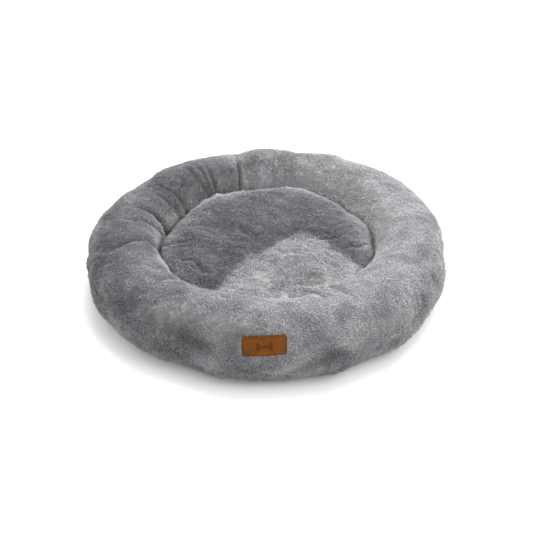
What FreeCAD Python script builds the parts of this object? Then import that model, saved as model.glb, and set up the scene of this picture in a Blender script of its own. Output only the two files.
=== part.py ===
import FreeCAD, Part
import math
import os
import Sketcher

# A round pet bed: a stuffed plush bolster ring on a non-slip base, with a loose plush cushion inside.
# Millimetres. +Z is up, z = 0 is the floor, the ring's axis is Z, and the label is at the front, on -Y.

doc = FreeCAD.newDocument("pet_bed")
sheet = doc.addObject("Spreadsheet::Sheet", "Sizes")


# A length, with the spreadsheet expression that it comes from.
class Length:
    def __init__(self, value, text):
        self.value = float(value)
        self.text = text

    def __add__(self, other):
        other = asLength(other)
        return Length(self.value + other.value, f"({self.text} + {other.text})")

    def __sub__(self, other):
        other = asLength(other)
        return Length(self.value - other.value, f"({self.text} - {other.text})")

    def __mul__(self, factor):
        return Length(self.value * factor, f"({self.text} * {factor})")

    def __neg__(self):
        return Length(-self.value, f"(-{self.text})")


def asLength(number):
    return number if isinstance(number, Length) else Length(number, f"{number}")


class Sizes:
    pass


# ---- driving dimensions ----
table = {
    "outerRadius": 300,      # the bed over its pile
    "tubeWidth": 110,        # the bolster, wall to wall
    "bolsterTop": 108,       # the crest above the floor
    "crestCorner": 50,       # rounding of both shoulders of the crest
    "footCorner": 42,        # rounding of the outer foot
    "plush": 5,              # backing and pile of the plush cloth
    "gap": 0.3,              # soft pieces stand this far apart
    "dotHeight": 1,
    "dotRadius": 3.5,
    "dotPitch": 74,
    "dotRings": 3,
    "baseCloth": 1.6,        # the non-slip bottom cloth
    "wadding": 5,
    "floorCloth": 1.6,
    "panelLap": 4,           # the base cloth laps the cover's edge by this much on each side
    "seamWidth": 12,         # seam allowance at the foot
    "innerSeamWidth": 8.4,
    "innerSeamHeight": 4.4,
    "backSeamX": 18,         # the bolster's closing seam, at the back
    "backSeamWidth": 3,
    "backSeamDepth": 9,
    "cushionRadius": 183,
    "cushionTop": 66,
    "cushionLift": 0.6,      # the cushion's cloth above the floor cloth
    "cushionShoulder": 26,
    "cushionFoot": 20,
    "cushionSeamAt": 35,     # height of the seam round the cushion
    "coverCloth": 1.5,
    "bagCloth": 0.8,
    "bagInset": 11.3,        # the inner bag is this much smaller in radius
    "bagCorner": 20,
    "zipY": 60,              # the zip lies across the cushion's underside
    "zipLength": 262,
    "zipSlotWidth": 12,
    "troughLength": 292,
    "troughWidth": 36,
    "troughDepth": 6,
    "tapeWidth": 12,
    "tapeThickness": 0.8,
    "coilWidth": 2.6,
    "coilHeight": 2,
    "coilGap": 1.6,          # the slot between the coils, where the slider's neck runs
    "stopLength": 2.5,
    "stopLip": 0.3,          # a stop stands out of its coil by this much
    "sliderLength": 13,
    "sliderWidth": 9,
    "sliderPlate": 1.1,
    "sliderStart": 2,        # between the start stops and the closed slider
    "neckLength": 3,
    "neckSetBack": 1,
    "cheekLength": 2.8,
    "cheekWidth": 1,
    "cheekDrop": 3,
    "cheekSpread": 3.2,      # from the zip's middle to the middle of a cheek
    "pinSetBack": 1,
    "pinDrop": 1.6,          # the pin's centre below the slider's plate
    "pinRadius": 0.8,
    "pinClearance": 0.05,
    "eyeWall": 0.75,
    "pullLength": 15,
    "pullWidth": 4.8,
    "pullThickness": 1.2,
    "labelWidth": 60,
    "labelHeight": 24,       # of its outline seen from the front
    "labelCorner": 4,
    "labelCentre": 81.5,     # height of the label's middle
    "labelThickness": 1.8,
    "labelSunk": 0.6,        # the label's face below the tips of the pile
    "stitchLength": 3,
    "stitchWidth": 0.8,
    "stitchHeight": 0.4,
    "stitchPitch": 4.4,
    "stitchInset": 2.2,
    "careWidth": 20,
    "careLength": 32,
    "careThickness": 0.3,
}
size = Sizes()
for row, (alias, number) in enumerate(table.items(), start=1):
    sheet.set(f"A{row}", alias)
    sheet.set(f"B{row}", str(number))
    sheet.setAlias(f"B{row}", alias)
    setattr(size, alias, Length(number, f"Sizes.{alias}"))
doc.recompute()

# ---- heights and radii worked out from them ----
nothing = asLength(0)
clothBottom = size.dotHeight
clothTop = clothBottom + size.baseCloth
waddingTop = clothTop + size.wadding
floorTop = waddingTop + size.floorCloth
innerRadius = size.outerRadius - size.tubeWidth
footRadius = size.outerRadius - size.footCorner
panelRadius = footRadius + size.panelLap
seamRadius = footRadius - size.panelLap
crestOut = size.outerRadius - size.crestCorner
crestMiddle = size.outerRadius - size.tubeWidth * 0.5
bandFoot = clothTop + size.footCorner
cushionBottom = floorTop + size.cushionLift
troughTop = cushionBottom + size.troughDepth
tapeBottom = troughTop + size.coverCloth
zipMiddle = tapeBottom + size.tapeThickness * 0.5


# ---- helpers ----
def bind(thing, prop, length):
    thing.setExpression(prop, length.text)


def originPlane(body, role):
    return next(f for f in body.Origin.OriginFeatures if f.Role == role)


# A closed outline whose edges all run along the sketch's axes. Each corner is (across, up, rounding).
def squaredSketch(body, corners, role="XZ_Plane"):
    sketch = body.newObject("Sketcher::SketchObject", f"{body.Name}Outline")
    sketch.AttachmentSupport = (originPlane(body, role), [""])
    sketch.MapMode = "FlatFace"
    points = [FreeCAD.Vector(c[0].value, c[1].value, 0) for c in corners]
    roundings = [asLength(c[2]) if len(c) > 2 else nothing for c in corners]
    count = len(points)
    towards = [(points[(n + 1) % count] - points[n]).normalize() for n in range(count)]
    edges = []
    for n in range(count):
        start = points[n] + towards[n] * roundings[n].value
        end = points[(n + 1) % count] - towards[n] * roundings[(n + 1) % count].value
        edges.append(sketch.addGeometry(Part.LineSegment(start, end), False))
    for n, edge in enumerate(edges):
        upright = abs(towards[n].y) > 0.5
        sketch.addConstraint(Sketcher.Constraint("Vertical" if upright else "Horizontal", edge))
        along = corners[n][0] if upright else corners[n][1]
        if upright and abs(along.value) < 1e-9:
            sketch.addConstraint(Sketcher.Constraint("PointOnObject", edge, 1, -2))
        elif not upright and abs(along.value) < 1e-9:
            sketch.addConstraint(Sketcher.Constraint("PointOnObject", edge, 1, -1))
        else:
            kind = "DistanceX" if upright else "DistanceY"
            place = sketch.addConstraint(Sketcher.Constraint(kind, -1, 1, edge, 1, along.value))
            sketch.setExpression(f"Constraints[{place}]", along.text)
    for n in range(count):
        before = edges[n - 1]
        after = edges[n]
        if roundings[n].value == 0:
            sketch.addConstraint(Sketcher.Constraint("Coincident", before, 2, after, 1))
            continue
        radius = roundings[n].value
        centre = points[n] - towards[n - 1] * radius + towards[n] * radius
        middle = centre + (points[n] - centre).normalize() * radius
        arc = Part.Arc(points[n] - towards[n - 1] * radius, middle, points[n] + towards[n] * radius)
        bend = sketch.addGeometry(arc, False)
        turnsLeft = towards[n - 1].cross(towards[n]).z > 0
        first, last = (1, 2) if turnsLeft else (2, 1)
        sketch.addConstraint(Sketcher.Constraint("Tangent", before, 2, bend, first))
        sketch.addConstraint(Sketcher.Constraint("Tangent", bend, last, after, 1))
        place = sketch.addConstraint(Sketcher.Constraint("Radius", bend, radius))
        sketch.setExpression(f"Constraints[{place}]", roundings[n].text)
    return sketch


# A body turned about Z from an outline given as (radius, height, rounding) corners.
def turned(label, corners):
    body = doc.addObject("PartDesign::Body", label)
    body.Label = label
    sketch = squaredSketch(body, corners)
    turn = body.newObject("PartDesign::Revolution", f"{label}Turn")
    turn.Profile = (sketch, [""])
    turn.ReferenceAxis = (sketch, ["V_Axis"])
    turn.Angle = 360
    body.Tip = turn
    return body


# A box from its low corner and its three sides, every one bound to the sheet.
def box(label, corner, sides):
    piece = doc.addObject("Part::Box", label)
    piece.Label = label
    for prop, length in zip(("Length", "Width", "Height"), sides):
        bind(piece, prop, asLength(length))
    for axis, length in zip("xyz", corner):
        bind(piece, f"Placement.Base.{axis}", asLength(length))
    return piece


def cut(label, base, tool):
    piece = doc.addObject("Part::Cut", label)
    piece.Label = label
    piece.Base = base
    piece.Tool = tool
    return piece


def common(label, base, tool):
    piece = doc.addObject("Part::Common", label)
    piece.Label = label
    piece.Base = base
    piece.Tool = tool
    return piece


def fuse(label, shapes):
    piece = doc.addObject("Part::MultiFuse", label)
    piece.Label = label
    piece.Shapes = shapes
    return piece


def group(label, solids):
    piece = doc.addObject("Part::Feature", label)
    piece.Label = label
    piece.Shape = Part.makeCompound(solids)
    return piece


nodes = []


# ---- base: bottom cloth, its dots, wadding and the inner floor ----
nodes.append(turned("bottom_panel", [
    (nothing, clothBottom), (panelRadius, clothBottom), (panelRadius, clothTop), (nothing, clothTop)]))
waddingRadius = seamRadius - size.seamWidth - size.gap
nodes.append(turned("base_wadding", [
    (nothing, clothTop), (waddingRadius, clothTop), (waddingRadius, waddingTop), (nothing, waddingTop)]))
floorRadius = innerRadius + size.plush
nodes.append(turned("floor_panel", [
    (nothing, waddingTop), (floorRadius, waddingTop), (floorRadius, floorTop), (nothing, floorTop)]))

# The dots stand in rings of 6, 12 and 18 round one in the middle.
dots = []
for ring in range(int(size.dotRings.value) + 1):
    ringCount = max(1, 6 * ring)
    reach = size.dotPitch.value * ring
    for side in range(ringCount):
        angle = 2 * math.pi * side / ringCount
        place = FreeCAD.Vector(reach * math.cos(angle), reach * math.sin(angle), 0)
        dots.append(Part.makeCylinder(size.dotRadius.value, size.dotHeight.value, place))
nodes.append(group("antislip_dots", dots))

# ---- bolster cover: one strip from the foot seam over the crest to the floor seam ----
inside = size.plush
coverStrip = turned("bolster_strip", [
    (seamRadius, clothTop),
    (size.outerRadius, clothTop, size.footCorner),
    (size.outerRadius, size.bolsterTop, size.crestCorner),
    (innerRadius, size.bolsterTop, size.crestCorner),
    (innerRadius, floorTop),
    (innerRadius + inside, floorTop),
    (innerRadius + inside, size.bolsterTop - inside, size.crestCorner - inside),
    (size.outerRadius - inside, size.bolsterTop - inside, size.crestCorner - inside),
    (size.outerRadius - inside, clothTop + inside, size.footCorner - inside),
    (seamRadius, clothTop + inside)])


# The layer of the front wall between two depths below the tips of the pile.
def wallLayer(label, outside, within):
    return turned(label, [
        (crestMiddle, size.bolsterTop - outside),
        (size.outerRadius - outside, size.bolsterTop - outside, size.crestCorner - outside),
        (size.outerRadius - outside, clothTop + outside, size.footCorner - outside),
        (seamRadius, clothTop + outside),
        (seamRadius, clothTop + within),
        (size.outerRadius - within, clothTop + within, size.footCorner - within),
        (size.outerRadius - within, size.bolsterTop - within, size.crestCorner - within),
        (crestMiddle, size.bolsterTop - within)])


# A block through the front wall with the label's outline, larger all round by some margin.
def labelBlock(label, margin):
    block = box(f"{label}Block",
                (-(size.labelWidth * 0.5) - margin, -size.outerRadius - size.plush,
                 size.labelCentre - size.labelHeight * 0.5 - margin),
                (size.labelWidth + margin * 2, size.crestCorner, size.labelHeight + margin * 2))
    doc.recompute()
    rounded = doc.addObject("Part::Fillet", label)
    rounded.Base = block
    deep = [n for n, e in enumerate(block.Shape.Edges, start=1)
            if abs(e.tangentAt(e.FirstParameter).y) > 0.9]
    rounded.Edges = [(n, size.labelCorner.value, size.labelCorner.value) for n in deep]
    return rounded


labelBack = size.labelSunk + size.labelThickness
nodes.append(common("label_patch", wallLayer("label_layer", size.labelSunk, labelBack),
                    labelBlock("label_block", nothing)))
recess = common("label_recess", wallLayer("recess_layer", -size.plush, labelBack + size.gap),
                labelBlock("recess_block", size.gap))
nodes.append(cut("bolster_cover", coverStrip, recess))

# ---- bolster inside: fibre filling and the seam allowances ----
skin = size.plush + size.gap
floorSeam = innerRadius + skin
floorSeamEnd = floorSeam + size.innerSeamWidth
fillingRing = turned("filling_ring", [
    (size.outerRadius - skin, clothTop + skin, size.footCorner - skin),
    (size.outerRadius - skin, size.bolsterTop - skin, size.crestCorner - skin),
    (innerRadius + skin, size.bolsterTop - skin, size.crestCorner - skin),
    (innerRadius + skin, waddingTop + size.innerSeamHeight + size.gap),
    (floorSeamEnd + size.gap, waddingTop + size.innerSeamHeight + size.gap),
    (floorSeamEnd + size.gap, clothTop + skin)])
nodes.append(turned("floor_seam_allowance", [
    (floorSeam, waddingTop), (floorSeamEnd, waddingTop),
    (floorSeamEnd, waddingTop + size.innerSeamHeight - size.gap),
    (floorSeam, waddingTop + size.innerSeamHeight - size.gap)]))
nodes.append(turned("foot_seam_allowance", [
    (seamRadius - size.seamWidth, clothTop), (seamRadius - size.gap, clothTop),
    (seamRadius - size.gap, waddingTop - size.gap),
    (seamRadius - size.seamWidth, waddingTop - size.gap)]))


# The band under the cover where the strip's two ends are joined, between two depths and so wide.
def closingBand(label, outside, within, width):
    layer = turned(f"{label}Layer", [
        (size.outerRadius - outside, bandFoot),
        (size.outerRadius - outside, size.bolsterTop - outside, size.crestCorner - outside),
        (innerRadius + outside, size.bolsterTop - outside, size.crestCorner - outside),
        (innerRadius + outside, bandFoot),
        (innerRadius + within, bandFoot),
        (innerRadius + within, size.bolsterTop - within, size.crestCorner - within),
        (size.outerRadius - within, size.bolsterTop - within, size.crestCorner - within),
        (size.outerRadius - within, bandFoot)])
    slab = box(f"{label}Slab", (size.backSeamX - width * 0.5, nothing, nothing),
               (width, size.outerRadius, size.bolsterTop))
    return common(label, layer, slab)


nodes.append(closingBand("closing_seam_allowance", skin, skin + size.backSeamDepth, size.backSeamWidth))
seamRoom = closingBand("closing_seam_room", size.plush, skin + size.backSeamDepth + size.gap,
                       size.backSeamWidth + size.gap * 2)
nodes.append(cut("bolster_filling", fillingRing, seamRoom))

# ---- label stitching: a row of stitches inside the label's edge ----
threadGap = 0.08
rowEnd = 2


# A point of the front wall's outline and its outward direction, at a height and a depth.
def wallPoint(height, depth):
    top = size.bolsterTop.value - size.crestCorner.value
    foot = clothTop.value + size.footCorner.value
    if height > top:
        radius, level, corner = crestOut.value, top, size.crestCorner.value
    elif height < foot:
        radius, level, corner = footRadius.value, foot, size.footCorner.value
    else:
        return size.outerRadius.value - depth, height, 0.0
    lean = math.asin((height - level) / corner)
    reach = corner - depth
    return radius + reach * math.cos(lean), level + reach * math.sin(lean), lean


# One stitch lying on the label at x and a height, along the wall's width or up it.
def stitch(x, height, upright):
    length = size.stitchLength.value
    width = size.stitchWidth.value
    radius, level, lean = wallPoint(height, size.labelSunk.value - threadGap)
    sides = (width, size.stitchHeight.value, length) if upright else (length, size.stitchHeight.value, width)
    thread = Part.makeBox(*sides, FreeCAD.Vector(-sides[0] / 2, -sides[1], -sides[2] / 2))
    thread.rotate(FreeCAD.Vector(), FreeCAD.Vector(1, 0, 0), -math.degrees(lean))
    turn = math.asin(x / radius)
    thread.rotate(FreeCAD.Vector(), FreeCAD.Vector(0, 0, 1), math.degrees(turn))
    thread.translate(FreeCAD.Vector(x, -radius * math.cos(turn), level))
    return thread


# Stitch middles spread evenly along one side.
def spread(length):
    count = int(length / size.stitchPitch.value)
    step = length / count
    return [(n + 0.5) * step - length / 2 for n in range(count)]


halfWide = size.labelWidth.value / 2 - size.stitchInset.value
halfHigh = size.labelHeight.value / 2 - size.stitchInset.value
middle = size.labelCentre.value
stitches = []
for edge in (-1, 1):
    stitches += [stitch(x, middle + edge * halfHigh, False) for x in spread(2 * (halfWide - rowEnd))]
    stitches += [stitch(edge * halfWide, middle + up, True) for up in spread(2 * (halfHigh - rowEnd))]
nodes.append(group("label_stitching", stitches))

# ---- cushion: plush top, cloth underside, inner bag and filling ----
nodes.append(turned("cushion_cover_top", [
    (nothing, size.cushionTop),
    (nothing, size.cushionTop - inside),
    (size.cushionRadius - inside, size.cushionTop - inside, size.cushionShoulder - inside),
    (size.cushionRadius - inside, size.cushionSeamAt),
    (size.cushionRadius, size.cushionSeamAt),
    (size.cushionRadius, size.cushionTop, size.cushionShoulder)]))
cloth = size.coverCloth
underside = turned("underside_shell", [
    (nothing, cushionBottom),
    (size.cushionRadius, cushionBottom, size.cushionFoot),
    (size.cushionRadius, size.cushionSeamAt),
    (size.cushionRadius - cloth, size.cushionSeamAt),
    (size.cushionRadius - cloth, cushionBottom + cloth, size.cushionFoot - cloth),
    (nothing, cushionBottom + cloth)])
halfTrough = size.troughLength * 0.5
troughOuter = box("trough_outer",
                  (-halfTrough, size.zipY - size.troughWidth * 0.5, cushionBottom),
                  (size.troughLength, size.troughWidth, size.troughDepth + cloth))
troughInner = box("trough_inner",
                  (-halfTrough + cloth, size.zipY - size.troughWidth * 0.5 + cloth, cushionBottom - 1),
                  (size.troughLength - cloth * 2, size.troughWidth - cloth * 2, size.troughDepth + 1))
zipSlot = box("zip_slot",
              (-(size.zipLength * 0.5) - size.stopLength - cloth, size.zipY - size.zipSlotWidth * 0.5,
               troughTop - cloth),
              (size.zipLength + size.stopLength * 2 + cloth * 2, size.zipSlotWidth, cloth * 3))
nodes.append(cut("cushion_cover_bottom", fuse("underside_with_trough", [underside, troughOuter]),
                 fuse("trough_and_slot", [troughInner, zipSlot])))
nodes.append(turned("cushion_seam_allowance", [
    (size.cushionRadius - size.bagInset + size.gap, size.cushionSeamAt - 1.2),
    (size.cushionRadius - inside - size.gap, size.cushionSeamAt - 1.2),
    (size.cushionRadius - inside - size.gap, size.cushionSeamAt + 1.2),
    (size.cushionRadius - size.bagInset + size.gap, size.cushionSeamAt + 1.2)]))

# The bag and its filling are hollowed over the zip's trough.
bagRadius = size.cushionRadius - size.bagInset
bagBottom = cushionBottom + cloth + size.gap
bagTop = size.cushionTop - inside - size.gap
zipRoof = zipMiddle + size.coilHeight + size.sliderPlate * 2 + size.gap
roomSpare = 1


def pillow(label, shrink):
    whole = turned(f"{label}Round", [
        (nothing, bagBottom + shrink),
        (bagRadius - shrink, bagBottom + shrink, size.bagCorner - shrink),
        (bagRadius - shrink, bagTop - shrink, size.bagCorner - shrink),
        (nothing, bagTop - shrink)])
    room = box(f"{label}Room",
               (-halfTrough - roomSpare - shrink,
                size.zipY - size.troughWidth * 0.5 - roomSpare - shrink, bagBottom - roomSpare),
               (size.troughLength + (shrink + roomSpare) * 2, size.troughWidth + (shrink + roomSpare) * 2,
                zipRoof - bagBottom + roomSpare + shrink))
    return cut(label, whole, room)


nodes.append(cut("cushion_inner_bag", pillow("bag_whole", nothing), pillow("bag_inside", size.bagCloth)))
nodes.append(pillow("cushion_filling", size.bagCloth + size.gap))

# ---- zip: two tapes, two coils, the stops, the slider and its pull ----
halfZip = size.zipLength * 0.5
coilBottom = zipMiddle - size.coilHeight * 0.5
coilFrom = size.coilGap * 0.5
tapeFrom = coilFrom + size.coilWidth
for name, side in (("front", -1), ("back", 1)):
    def across(near, width, side=side):
        return size.zipY + near if side > 0 else size.zipY - near - width
    nodes.append(box(f"zip_tape_{name}",
                     (-halfZip - size.stopLength, across(tapeFrom, size.tapeWidth), tapeBottom),
                     (size.zipLength + size.stopLength * 2, size.tapeWidth, size.tapeThickness)))
    nodes.append(box(f"zip_coil_{name}", (-halfZip, across(coilFrom, size.coilWidth), coilBottom),
                     (size.zipLength, size.coilWidth, size.coilHeight)))

# The stops sit on the coils' ends. Each is cut clear of the tapes that it grips.
stopWidth = size.coilWidth + size.stopLip * 2
stopHeight = size.coilHeight + size.stopLip * 2
startStops = []
for side in (-1, 1):
    corner = size.zipY + coilFrom if side > 0 else size.zipY - coilFrom - stopWidth
    startStops.append(box(f"start_stop_{side + 1}",
                          (-halfZip - size.stopLength, corner, coilBottom - size.stopLip),
                          (size.stopLength, stopWidth, stopHeight)))
tapeStrips = []
for name, corner in (("front", size.zipY - tapeFrom - size.tapeWidth), ("back", size.zipY + tapeFrom)):
    tapeStrips.append(box(f"tape_strip_{name}", (-size.zipLength, corner, tapeBottom),
                          (size.zipLength * 2, size.tapeWidth, size.tapeThickness)))
strips = fuse("tape_strips", tapeStrips)
nodes.append(cut("zip_start_stops", fuse("start_stop_blocks", startStops), strips))
endBlock = box("end_block", (halfZip, size.zipY - coilFrom - stopWidth, coilBottom - size.stopLip),
               (size.stopLength, (coilFrom + stopWidth) * 2, stopHeight))
nodes.append(cut("zip_end_stop", endBlock, strips))

# A round bar along Y through a point, so long.
def crossBar(label, radius, length, x, z):
    bar = doc.addObject("Part::Cylinder", label)
    bar.Label = label
    bind(bar, "Radius", radius)
    bind(bar, "Height", length)
    bar.Placement.Rotation = FreeCAD.Rotation(FreeCAD.Vector(1, 0, 0), -90)
    for axis, place in zip("xyz", (x, size.zipY - length * 0.5, z)):
        bind(bar, f"Placement.Base.{axis}", place)
    return bar


# The slider rests at the closed end, on -X. Its plates lie above and below the coils.
halfSlider = size.sliderLength * 0.5
sliderX = -halfZip + halfSlider + size.sliderStart
plateLow = coilBottom - size.gap - size.sliderPlate
plateHigh = coilBottom + size.coilHeight + size.gap
halfWidth = size.sliderWidth * 0.5
neckHalf = coilFrom - size.gap
sliderPieces = []
for name, level in (("low", plateLow), ("high", plateHigh)):
    sliderPieces.append(box(f"slider_{name}_plate", (sliderX - halfSlider, size.zipY - halfWidth, level),
                            (size.sliderLength, size.sliderWidth, size.sliderPlate)))
sliderPieces.append(box("slider_neck", (sliderX + halfSlider - size.neckSetBack - size.neckLength,
                                        size.zipY - neckHalf, plateLow + size.sliderPlate * 0.5),
                        (size.neckLength, neckHalf * 2, plateHigh - plateLow)))
pinX = sliderX - size.pinSetBack
pinZ = plateLow - size.pinDrop
for side in (-1, 1):
    sliderPieces.append(box(f"slider_cheek_{side + 1}",
                            (pinX - size.cheekLength * 0.5,
                             size.zipY + size.cheekSpread * side - size.cheekWidth * 0.5,
                             plateLow - size.cheekDrop),
                            (size.cheekLength, size.cheekWidth, size.cheekDrop + size.sliderPlate * 0.5)))
sliderPieces.append(crossBar("slider_pin", size.pinRadius, size.cheekSpread * 2, pinX, pinZ))
nodes.append(fuse("zip_slider", sliderPieces))

# The pull lies along the zip under the slider, and its eye turns on the slider's pin.
eye = crossBar("pull_eye", size.pinRadius + size.eyeWall, size.pullWidth, pinX, pinZ)
strap = box("pull_strap",
            (pinX, size.zipY - size.pullWidth * 0.5, pinZ - size.pullThickness * 0.5),
            (size.pullLength, size.pullWidth, size.pullThickness))
bore = crossBar("pull_bore", size.pinRadius + size.pinClearance, size.pullWidth * 2, pinX, pinZ)
nodes.append(cut("zip_pull", fuse("pull_blank", [eye, strap]), bore))

# ---- care label: a blank strip sewn beside the zip ----
nodes.append(box("care_label",
                 (halfTrough - size.careLength,
                  size.zipY - size.troughWidth * 0.5 - size.careWidth - roomSpare,
                  cushionBottom - size.careThickness),
                 (size.careLength, size.careWidth, size.careThickness)))

# ---- check everything, then write one file for each node ----
doc.recompute()
for thing in doc.Objects:
    if "Invalid" in thing.State or "Error" in thing.State:
        raise RuntimeError(f"{thing.Label} failed: {thing.State}")
os.makedirs("parts", exist_ok=True)
for node in nodes:
    if node.Shape.isNull() or not node.Shape.isValid():
        raise RuntimeError(f"{node.Label} has a bad shape")
    node.Shape.exportStep(f"parts/{node.Label}.step")
    bounds = node.Shape.BoundBox
    print(f"{node.Label:24s} {len(node.Shape.Solids):3d} solids {node.Shape.Volume / 1000:9.2f} cm3 "
          f"z {bounds.ZMin:6.2f} to {bounds.ZMax:6.2f}")
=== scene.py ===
import math

import bmesh
import bpy
import numpy as np
from mathutils import Matrix, Vector, noise
from mathutils.bvhtree import BVHTree


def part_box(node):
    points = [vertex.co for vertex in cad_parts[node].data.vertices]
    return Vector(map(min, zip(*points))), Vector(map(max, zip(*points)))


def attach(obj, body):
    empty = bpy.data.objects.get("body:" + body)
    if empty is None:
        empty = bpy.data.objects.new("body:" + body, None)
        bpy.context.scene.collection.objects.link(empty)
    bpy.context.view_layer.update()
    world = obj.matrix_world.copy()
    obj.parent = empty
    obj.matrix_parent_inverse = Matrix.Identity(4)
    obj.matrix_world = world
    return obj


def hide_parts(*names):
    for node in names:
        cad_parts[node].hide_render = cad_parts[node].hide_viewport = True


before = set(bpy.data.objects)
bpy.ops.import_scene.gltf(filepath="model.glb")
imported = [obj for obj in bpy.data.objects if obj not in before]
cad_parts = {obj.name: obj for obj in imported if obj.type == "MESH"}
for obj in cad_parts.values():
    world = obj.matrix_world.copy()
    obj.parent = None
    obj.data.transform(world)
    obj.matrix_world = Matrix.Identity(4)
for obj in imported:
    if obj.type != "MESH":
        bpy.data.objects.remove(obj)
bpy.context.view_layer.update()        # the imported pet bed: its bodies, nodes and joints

scene = bpy.context.scene


# ---- camera, floor and light ----
stageSettings = {
    "cameraDistance": 1.14,       # from the middle of the floor under the bed
    "cameraElevation": 35.15,
    "cameraLens": 43.35,
    "cameraShift": 0.0052,
    "floorSize": 14,
    "floorColour": (0.93, 0.93, 0.93, 1),
    "worldColour": (1.0, 1.0, 1.0, 1),
    "worldStrength": 1.17,
    "keyPlace": (1.3, -0.9, 1.9),
    "keySize": 1.6,
    "keyPower": 20,
    "keyColour": (1.0, 0.99, 0.97),
    "rimPlace": (0.35, 0.7, 2.1),
    "rimSize": 1.8,
    "rimPower": 48,
}


def aimed(item, place, target=(0, 0, 0)):
    item.location = place
    item.rotation_euler = (Vector(target) - Vector(place)).to_track_quat("-Z", "Y").to_euler()
    scene.collection.objects.link(item)
    return item


def addCamera(s):
    data = bpy.data.cameras.new("camera")
    data.lens = s["cameraLens"]
    data.shift_y = s["cameraShift"]
    rise = math.radians(s["cameraElevation"])
    place = (0, -s["cameraDistance"] * math.cos(rise), s["cameraDistance"] * math.sin(rise))
    scene.camera = aimed(bpy.data.objects.new("camera", data), place)


def addLight(name, place, size, power, colour=(1, 1, 1)):
    data = bpy.data.lights.new(name, "AREA")
    data.shape = "DISK"
    data.size = size
    data.energy = power
    data.color = colour
    return aimed(bpy.data.objects.new(name, data), place)


def addFloor(s):
    bm = bmesh.new()
    bmesh.ops.create_grid(bm, x_segments=1, y_segments=1, size=s["floorSize"] / 2)
    mesh = bpy.data.meshes.new("floor")
    bm.to_mesh(mesh)
    bm.free()
    floor = bpy.data.objects.new("floor", mesh)
    scene.collection.objects.link(floor)
    material = bpy.data.materials.new("floorPaint")
    material.use_nodes = True
    shader = material.node_tree.nodes["Principled BSDF"]
    shader.inputs["Base Color"].default_value = s["floorColour"]
    shader.inputs["Roughness"].default_value = 0.9
    mesh.materials.append(material)


addCamera(stageSettings)
addFloor(stageSettings)
addLight("key", stageSettings["keyPlace"], stageSettings["keySize"], stageSettings["keyPower"],
         stageSettings["keyColour"])
addLight("rim", stageSettings["rimPlace"], stageSettings["rimSize"], stageSettings["rimPower"])
world = bpy.data.worlds.new("studio")
world.use_nodes = True
world.node_tree.nodes["Background"].inputs["Color"].default_value = stageSettings["worldColour"]
world.node_tree.nodes["Background"].inputs["Strength"].default_value = stageSettings["worldStrength"]
scene.world = world
scene.view_settings.view_transform = "Standard"
print("stage done")


# ---- mesh helpers ----
def positions(mesh):
    co = np.empty(len(mesh.vertices) * 3)
    mesh.vertices.foreach_get("co", co)
    return co.reshape(-1, 3)


def setPositions(mesh, co):
    mesh.vertices.foreach_set("co", np.asarray(co, float).ravel())
    mesh.update()


def normals(mesh):
    out = np.empty(len(mesh.vertices) * 3, np.float32)
    mesh.vertex_normals.foreach_get("vector", out)
    return out.reshape(-1, 3).astype(float)


def setAttribute(mesh, name, values):
    kind = "FLOAT_VECTOR" if np.ndim(values) == 2 else "FLOAT"
    layer = mesh.attributes.get(name) or mesh.attributes.new(name, kind, "POINT")
    layer.data.foreach_set("vector" if kind == "FLOAT_VECTOR" else "value",
                           np.asarray(values, np.float32).ravel())


def getAttribute(mesh, name):
    out = np.empty(len(mesh.vertices), np.float32)
    mesh.attributes[name].data.foreach_get("value", out)
    return out.astype(float)


def addPiece(name, mesh, body, slotName, *nodes):
    piece = bpy.data.objects.new(name, mesh)
    scene.collection.objects.link(piece)
    if nodes:
        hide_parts(*nodes)
    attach(piece, body)
    return piece


def evaluated(piece, name):
    graph = bpy.context.evaluated_depsgraph_get()
    mesh = bpy.data.meshes.new_from_object(piece.evaluated_get(graph), depsgraph=graph)
    mesh.name = name
    return mesh


def smoothed(mesh):
    mesh.polygons.foreach_set("use_smooth", [True] * len(mesh.polygons))
    return mesh


def subdivided(mesh, levels):
    holder = bpy.data.objects.new("holder", mesh)
    scene.collection.objects.link(holder)
    modifier = holder.modifiers.new("subdivision", "SUBSURF")
    modifier.levels = modifier.render_levels = levels
    result = evaluated(holder, mesh.name)
    bpy.data.objects.remove(holder)
    return smoothed(result)


# The skin that a line of (radius, height) points sweeps round Z, with its faces away from an inner point.
def spun(name, points, steps, inner):
    bm = bmesh.new()
    verts = [bm.verts.new((r, 0, z)) for r, z in points]
    edges = [bm.edges.new(pair) for pair in zip(verts, verts[1:])]
    bmesh.ops.spin(bm, geom=verts + edges, cent=(0, 0, 0), axis=(0, 0, 1), angle=math.tau,
                   steps=steps, use_merge=True)
    bmesh.ops.remove_doubles(bm, verts=bm.verts, dist=1e-6)
    bmesh.ops.recalc_face_normals(bm, faces=bm.faces)
    facing = 0
    for face in bm.faces:
        middle = face.calc_center_median()
        away = Vector((math.hypot(middle.x, middle.y) - inner[0], middle.z - inner[1]))
        radial = Vector((middle.x, middle.y, 0)).normalized().dot(face.normal)
        facing += away.x * radial + away.y * face.normal.z
    if facing < 0:
        bmesh.ops.reverse_faces(bm, faces=bm.faces)
    mesh = bpy.data.meshes.new(name)
    bm.to_mesh(mesh)
    bm.free()
    return mesh


def arcPoints(middle, radius, start, end, step):
    count = max(2, round(abs(math.radians(end - start)) * radius / step))
    turns = [math.radians(start + (end - start) * n / count) for n in range(count + 1)]
    return [(middle[0] + radius * math.cos(t), middle[1] + radius * math.sin(t)) for t in turns]


def linePoints(start, end, step):
    count = max(1, round(math.dist(start, end) / step))
    return [(start[0] + (end[0] - start[0]) * n / count, start[1] + (end[1] - start[1]) * n / count)
            for n in range(count + 1)]


def joined(*runs):
    points = []
    for run in runs:
        points += [p for p in run if not points or math.dist(p, points[-1]) > 1e-5]
    return points


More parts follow.
